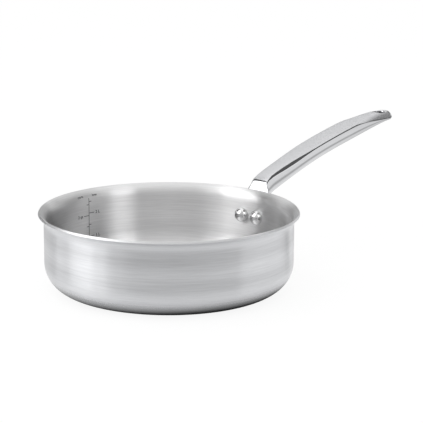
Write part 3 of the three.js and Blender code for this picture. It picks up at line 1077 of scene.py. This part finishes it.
class PAN_OT_rivets(Operator):
    """Sets the two polished rivets"""
    bl_idname = "saute_pan.rivets"
    bl_label = "Rivets"
    bl_options = {"UNDO"}

    def execute(self, context):
        scene = context.scene
        piece = add_object("rivet_pair", bpy.data.meshes.new("rivet_pair"))
        finish = scene.pan_finish
        rivet_pair(scene.pan_sheet, scene.pan_handle, scene.pan_rivets, piece,
                   polished_steel("polished_rivets", finish.bright, finish.polish_roughness))
        shade(piece.data, RIVET_CREASE)
        declare(piece, "rivets", "rivet_left", "rivet_right")
        return {"FINISHED"}


# --- Filling marks ---

HALVES, TOP_MARK = 4, 2.5 * LITRE
FIGURE_GAP = 1.6 * MM
HEADINGS = (("litres", 4.6 * MM), ("quarts", -6.6 * MM))
STROKE_WEIGHT = 0.02


def filling_height(s, volume):
    """Height of the surface above the base, for a volume that covers the rounded corner."""
    radius, corner = wall_radius(s), s.corner_radius
    missing = math.pi * corner ** 2 * (2 * radius * (1 - math.pi / 4)
                                       - corner * (5 / 3 - math.pi / 2))
    return sheet_thickness(s) + (volume + missing) / (math.pi * radius ** 2)


def number_meshes(s, m):
    """The figures and headings, flat in XZ: x is along the wall from the upright line, z above the
    base."""
    beside = m.major_mark + FIGURE_GAP
    words_at = [(f"{n} {unit}", side * beside, filling_height(s, n * volume), m.number_height)
                for unit, volume, side in (("L", LITRE, 1), ("qt", QUART, -1)) for n in (2, 1)]
    words_at += [(word, aside, m.heading_level, m.heading_height) for word, aside in HEADINGS]
    made = bmesh.new()
    for text, aside, level, size in words_at:
        curve = bpy.data.curves.new("figures", "FONT")
        curve.body = text
        curve.size = size
        curve.offset = size * STROKE_WEIGHT
        curve.align_x = "LEFT" if aside > 0 else "RIGHT"
        curve.align_y = "CENTER"
        words = add_object("figures", curve)
        graph = bpy.context.evaluated_depsgraph_get()
        flat = bpy.data.meshes.new_from_object(words.evaluated_get(graph))
        flat.transform(Matrix.Translation((aside, 0, level)) @ Matrix.Rotation(QUARTER, 4, "X"))
        made.from_mesh(flat)
        bpy.data.meshes.remove(flat)
        bpy.data.objects.remove(words)
        bpy.data.curves.remove(curve)
    mesh = bpy.data.meshes.new("filling_marks")
    made.to_mesh(mesh)
    made.free()
    return mesh


def filling_marks(s, m, piece, material):
    """Two rows of marks beside an upright line, joined with the given figures, thickened and bent
    round the wall. Flat artwork lies in XZ; it is wrapped with y as the height off the wall."""
    kit = TreeKit("Filling marks")

    def scale(unit, volume):
        """The height of the mark for one unit, and the step to the next, half a unit on."""
        first = filling_height(s, volume)
        return (kit.input(f"First {unit} Mark", first),
                kit.input(f"{unit} Step", filling_height(s, 1.5 * volume) - first))

    litres, litre_step = scale("Litre", LITRE)
    quarts, quart_step = scale("Quart", QUART)
    minor = kit.input("Minor Mark", m.minor_mark)
    major = kit.input("Major Mark", m.major_mark)
    width = kit.input("Line Width", m.line_width)
    top = kit.input("Line Top", filling_height(s, TOP_MARK) + m.overrun)
    proud = kit.input("Proud", m.proud)
    radius = kit.input("Wall Radius", wall_radius(s))
    start = kit.input("Flare Start", flare_start(s))
    flare = kit.input("Flare Radius", s.flare_radius)
    place = kit.input("Place", m.place)
    odd = kit.math("MODULO", kit.out("GeometryNodeInputIndex"), 2.0)
    mark_length = kit.plus(major, kit.times(odd, kit.minus(minor, major)))

    def strip(size_x, size_z, points_x, points_z):
        return kit.turned(kit.out("GeometryNodeMeshGrid", {
            "Size X": size_x, "Size Y": size_z, "Vertices X": points_x, "Vertices Y": points_z}),
            QUARTER, 0, 0)

    def row(first, step, sense):
        line = kit.out("GeometryNodeMeshLine", {
            "Count": HALVES, "Start Location": kit.combine(0.0, 0.0, first),
            "Offset": kit.combine(0.0, 0.0, step)})
        aside = kit.combine(kit.times(mark_length, 0.5 * sense), 0.0, 0.0)
        return kit.out("GeometryNodeInstanceOnPoints", {
            "Points": kit.moved(line, Offset=aside),
            "Instance": strip(1.0, 1.0, points_x=5, points_z=2),
            "Scale": kit.combine(mark_length, 1.0, width)})

    rise = kit.minus(top, quarts)
    upright = kit.out("GeometryNodeTransform", {
        "Geometry": strip(width, rise, points_x=2, points_z=40),
        "Translation": kit.combine(0.0, 0.0, kit.plus(quarts, kit.times(rise, 0.5)))})
    flat = kit.out("GeometryNodeRealizeInstances", {0: kit.join(
        kit.given.outputs[0], row(litres, litre_step, 1), row(quarts, quart_step, -1), upright)})
    thick = kit.out("GeometryNodeExtrudeMesh", {"Mesh": flat, "Offset": kit.combine(0.0, 1.0, 0.0),
                                                "Offset Scale": proud, "Individual": False})
    x, y, z = kit.place()
    over = kit.math("MAXIMUM", kit.minus(z, start), 0.0)
    bow = kit.math("SQRT", kit.minus(kit.times(flare, flare), kit.times(over, over)))
    off = kit.minus(kit.plus(radius, kit.minus(flare, bow)), y)
    turn = kit.minus(place, kit.math("DIVIDE", x, radius))
    bent = kit.combine(kit.times(off, kit.math("COSINE", turn)),
                       kit.times(off, kit.math("SINE", turn)), z)
    kit.run(piece, kit.moved(kit.join(thick, flat), Position=bent), material)


class PAN_OT_marks(Operator):
    """Prints the filling marks on the food side of the wall"""
    bl_idname = "saute_pan.marks"
    bl_label = "Filling marks"
    bl_options = {"UNDO"}

    def execute(self, context):
        s, m, f = context.scene.pan_sheet, context.scene.pan_marks, context.scene.pan_finish
        piece = add_object("filling_marks", number_meshes(s, m))
        filling_marks(s, m, piece, etched_print("etched_marks", f.print))
        declare(piece, "inner_liner")
        return {"FINISHED"}


# --- Stage ---

FLOOR_HALF, FLOOR_DROP, FLOOR_GLOW, FLOOR_GREY = 4, 0.0004, 0.9, 0.13
# The floor as the metal sees it, with painted shade: the middle of the painted shadow under the
# pan and how far past the foot it reaches, then ramps of painted shade as (from, to, value at
# from, value at to): towards the camera and away from it, along the grip's painted shadow and
# beside its line.
SHADE_MIDDLE, SHADE_PAST_FOOT = (2.8 * MM, -2.9 * MM, 0), (11 * MM, 38 * MM)
TO_CAMERA, FROM_CAMERA = (0.14, 0.42, 1.0, 0.36), (-0.5, -0.26, 0.45, 1.0)
GRIP_SHADE_Y, ALONG_GRIP, BESIDE_GRIP = -0.115, (0.14, 0.24, 0.0, 0.5), (0.012, 0.05, 1.0, 0.0)
AIM = Vector((0.03, 0.0, 0.05))
GRIP_AIM, END_AIM = Vector((0.235, 0, 0.118)), Vector((0.326, 0, 0.118))
PANEL_CELLS = 36
# In degrees: a panel that goes all round or over the top has no edge there to fade from.
FULL_TURN, ZENITH, NEAR_ZENITH, NO_EDGE = 360, 90, 60, 180
# Name; turns to the right of the camera and lifts above the floor, in degrees; level; fade in from
# the edges, in degrees; distance; and, where they aren't the usual ones, aim and stretch along X.
PANELS = (
    ("ceiling", (0, 360), (48, 90), 1.25, 16, 2.6),
    ("front_card", (-74, 74), (-10, 50), 0.7, 10, 2.3),
    ("front_low", (-74, 74), (-10, 11), 0.3, 5, 2.25),
    ("left_softbox", (-122, -66), (-6, 11), 2.2, 7, 2.0),
    ("left_edge", (-172, -114), (-10, 12), 0.25, 6, 2.15),
    ("left_softbox_top", (-100, -56), (9, 54), 2.9, 3, 1.9),
    ("left_fill", (-66, -34), (14, 70), 1.4, 12, 2.1),
    ("left_flag", (-132, -96), (5, 60), 0.16, 4, 2.1),
    ("right_softbox", (62, 150), (-6, 16), 1.33, 4, 2.2),
    ("right_flag", (60, 150), (9, 29), 0.21, 6, 2.0),
    ("handle_flag", (-28, 110), (-4, 84), 0.13, 6, 0.1, GRIP_AIM, 1.6),
    ("end_flag", (94, 158), (16, 54), 0.16, 8, 0.09, END_AIM),
    ("back_softbox", (150, 222), (28, 60), 1.0, 12, 1.8),
    ("back_card", (128, 232), (-10, 24), 0.5, 8, 2.4),
)
HANGING_STRIP = ("hanging_strip", (34.5, 59), (13, 37), 2.6, 5, 0.26)
STRIP_TURN, STRIP_OUT, STRIP_UP = 202, 0.116, 0.05
LAMP_TURN, LAMP_LIFT, LAMP_DISTANCE, LAMP_SIZE, LAMP_POWER = -60, 62, 1.8, 1.6, 6
SENSOR_WIDTH = 36


def seen_plainly(kit):
    """1 for the rays that show the background: camera, glossy and transmission rays."""
    path = kit.add("ShaderNodeLightPath").outputs
    both = kit.plus(path["Is Camera Ray"], path["Is Glossy Ray"])
    return kit.math("MINIMUM", kit.plus(both, path["Is Transmission Ray"]), 1.0)


def white_room(st):
    """The world: plain white behind the object, softer on matt things."""
    world = bpy.data.worlds.new("white_room")
    kit = ShaderKit(world)
    level = kit.remap(seen_plainly(kit), 0.0, 1.0, st.ambient, st.backdrop)
    back = kit.out("ShaderNodeBackground", {"Color": WHITE, "Strength": level})
    kit.add("ShaderNodeOutputWorld", {0: back})
    return world


def floor_finish(s, st):
    """White floor: most of it glows for the rays that see the background, the rest takes light and
    shadow. What the metal sees of it has painted shade: a painted shadow under the pan's rounded
    corner, where no light gets in, darker towards and away from the camera, and a painted shadow
    under the grip."""
    kit = material_kit("white_floor")
    seen = seen_plainly(kit)
    place = kit.place()
    from_middle = kit.vector("DISTANCE", place, SHADE_MIDDLE)
    towards = kit.vector("DOT_PRODUCT", place, Vector((st.eye[0], st.eye[1], 0)).normalized())
    x, y, _ = kit.separate(place)
    from_grip = kit.math("ABSOLUTE", kit.plus(y, -GRIP_SHADE_Y))
    under_grip = kit.times(kit.remap(x, *ALONG_GRIP), kit.remap(from_grip, *BESIDE_GRIP))
    foot = wall_radius(s) - s.corner_radius
    # Painted shade that only the metal sees: a painted shadow round the pan's foot, darker towards
    # and away from the camera, and a painted shadow under the grip.
    painted_floor_light = kit.remap(from_middle, *(foot + past for past in SHADE_PAST_FOOT), 0.0, 1.0)
    painted_floor_light = kit.times(painted_floor_light, kit.remap(towards, *TO_CAMERA))
    painted_floor_light = kit.times(painted_floor_light, kit.remap(towards, *FROM_CAMERA))
    painted_floor_light = kit.times(painted_floor_light, kit.minus(1.0, under_grip))
    camera = kit.add("ShaderNodeLightPath").outputs["Is Camera Ray"]
    # The camera sees the floor evenly white; glossy rays see it with the painted shade.
    level = kit.times(kit.times(seen, kit.math("MAXIMUM", camera, painted_floor_light)), FLOOR_GLOW)
    matt = kit.out("ShaderNodeBsdfDiffuse", {"Color": (FLOOR_GREY, FLOOR_GREY, FLOOR_GREY, 1)})
    return kit.end(kit.out("ShaderNodeAddShader", {0: kit.glow(level), 1: matt}))


def panel_finish(name, level, fade):
    """A glowing panel that fades out towards its edges. Its UV map counts degrees in from them."""
    kit = material_kit(name)
    inside = kit.separate(kit.out("ShaderNodeUVMap", uv_map="inside"))
    across, upward = (kit.remap(side, 0.0, fade, 0.0, 1.0, interpolation_type="SMOOTHSTEP")
                      for side in inside[:2])
    clear = kit.out("ShaderNodeBsdfTransparent")
    made = kit.end(kit.out("ShaderNodeMixShader", {0: kit.times(across, upward), 1: clear,
                                                   2: kit.glow(level)}))
    made.cycles.emission_sampling = "NONE"
    return made


def beside_camera(st, degrees, lift):
    """A direction from the pan: degrees to the camera's right, lift degrees above the floor."""
    heading = math.atan2(st.eye[1], st.eye[0]) + math.radians(degrees)
    up = math.radians(lift)
    flat = math.cos(up)
    return Vector((flat * math.cos(heading), flat * math.sin(heading), math.sin(up)))


def panel(st, name, turns, lifts, level, fade, distance, aim=AIM, long=1.0):
    """A curved studio panel that shows only in reflections, spread round an aim."""
    whole = turns[1] - turns[0] >= FULL_TURN
    points, inside = [], []
    for lift in steps(*lifts, PANEL_CELLS):
        over_top = lifts[1] >= ZENITH and lift > NEAR_ZENITH
        for turn in steps(*turns, PANEL_CELLS):
            points.append(aim + beside_camera(st, turn, lift) * Vector((long, 1, 1)) * distance)
            inside.append((NO_EDGE if whole else min(turn - turns[0], turns[1] - turn),
                           NO_EDGE if over_top else min(lift - lifts[0], lifts[1] - lift)))
    mesh = plain_mesh(name, points, quads(PANEL_CELLS + 1, PANEL_CELLS + 1, closed=False))
    layer = mesh.uv_layers.new(name="inside")
    for loop in mesh.loops:
        layer.data[loop.index].uv = inside[loop.vertex_index]
    mesh.materials.append(panel_finish(name, level, fade))
    made = add_object(name, mesh)
    made.visible_camera = made.visible_diffuse = made.visible_shadow = False


def add_floor(s, st):
    corners = [(x * FLOOR_HALF, y * FLOOR_HALF, -FLOOR_DROP)
               for x, y in ((-1, -1), (1, -1), (1, 1), (-1, 1))]
    floor = body("floor", corners, [(0, 1, 2, 3)])
    floor.data.materials.append(floor_finish(s, st))


def add_lamp(st):
    """A soft lamp over the left, which lights matt things and casts the shadow on the floor."""
    lamp = bpy.data.lights.new("soft_box", "AREA")
    lamp.shape = "SQUARE"
    lamp.size = LAMP_SIZE
    lamp.energy = LAMP_POWER
    soft_box = add_object("soft_box", lamp)
    away = beside_camera(st, LAMP_TURN, LAMP_LIFT).normalized()
    turned = away.to_track_quat("Z", "Y").to_matrix().to_4x4()
    soft_box.matrix_world = Matrix.Translation(AIM + away * LAMP_DISTANCE) @ turned
    soft_box.visible_glossy = soft_box.visible_camera = False


def add_camera(st):
    lens = bpy.data.cameras.new("camera")
    lens.lens = st.lens
    lens.sensor_width = SENSOR_WIDTH
    lens.sensor_fit = "HORIZONTAL"
    camera = add_object("camera", lens)
    ahead = Vector((math.cos(st.pitch) * math.cos(st.yaw), math.cos(st.pitch) * math.sin(st.yaw),
                    math.sin(st.pitch)))
    level = Vector((math.sin(st.yaw), -math.cos(st.yaw), 0))
    over = level.cross(ahead)
    right = level * math.cos(st.roll) + over * math.sin(st.roll)
    up = over * math.cos(st.roll) - level * math.sin(st.roll)
    turned = Matrix((right, up, -ahead)).transposed().to_4x4()
    camera.matrix_world = Matrix.Translation(Vector(st.eye)) @ turned
    return camera


class PAN_OT_stage(Operator):
    """Sets the floor, the panels, the lamp and the camera"""
    bl_idname = "saute_pan.stage"
    bl_label = "Stage"
    bl_options = {"UNDO"}

    def execute(self, context):
        scene, st = context.scene, context.scene.pan_stage
        scene.view_settings.view_transform = "Standard"
        scene.world = white_room(st)
        add_floor(scene.pan_sheet, st)
        for row in PANELS:
            panel(st, *row)
        scale_side = beside_camera(st, STRIP_TURN, 0) * STRIP_OUT + Vector((0, 0, STRIP_UP))
        panel(st, *HANGING_STRIP, scale_side)
        add_lamp(st)
        scene.camera = add_camera(st)
        return {"FINISHED"}


# --- Panel and registration ---

SETTINGS = (
    ("pan_sheet", SheetSettings, PAN_OT_sheet),
    ("pan_handle", HandleSettings, PAN_OT_handle),
    ("pan_rivets", RivetSettings, PAN_OT_rivets),
    ("pan_marks", MarkSettings, PAN_OT_marks),
    ("pan_stage", StageSettings, PAN_OT_stage),
    ("pan_finish", FinishSettings, None),
)


class PAN_PT_sidebar(Panel):
    """Lists the pieces with their sizes"""
    bl_idname = "PAN_PT_sidebar"
    bl_label = "Saute pan"
    bl_space_type = "VIEW_3D"
    bl_region_type = "UI"
    bl_category = "Saute pan"

    def draw(self, context):
        for name, settings, operator in SETTINGS:
            box = self.layout.box()
            if operator:
                box.operator(operator.bl_idname)
            else:
                box.label(text="Finish")
            for field in settings.__annotations__:
                box.prop(getattr(context.scene, name), field)


def register():
    for name, settings, operator in SETTINGS:
        bpy.utils.register_class(settings)
        setattr(bpy.types.Scene, name, PointerProperty(type=settings))
        if operator:
            bpy.utils.register_class(operator)
    bpy.utils.register_class(PAN_PT_sidebar)


def unregister():
    bpy.utils.unregister_class(PAN_PT_sidebar)
    for name, settings, operator in reversed(SETTINGS):
        if operator:
            bpy.utils.unregister_class(operator)
        delattr(bpy.types.Scene, name)
        bpy.utils.unregister_class(settings)


def main():
    register()
    bpy.ops.saute_pan.sheet()
    bpy.ops.saute_pan.handle()
    bpy.ops.saute_pan.rivets()
    bpy.ops.saute_pan.marks()
    bpy.ops.saute_pan.stage()


if __name__ == "__main__":
    main()
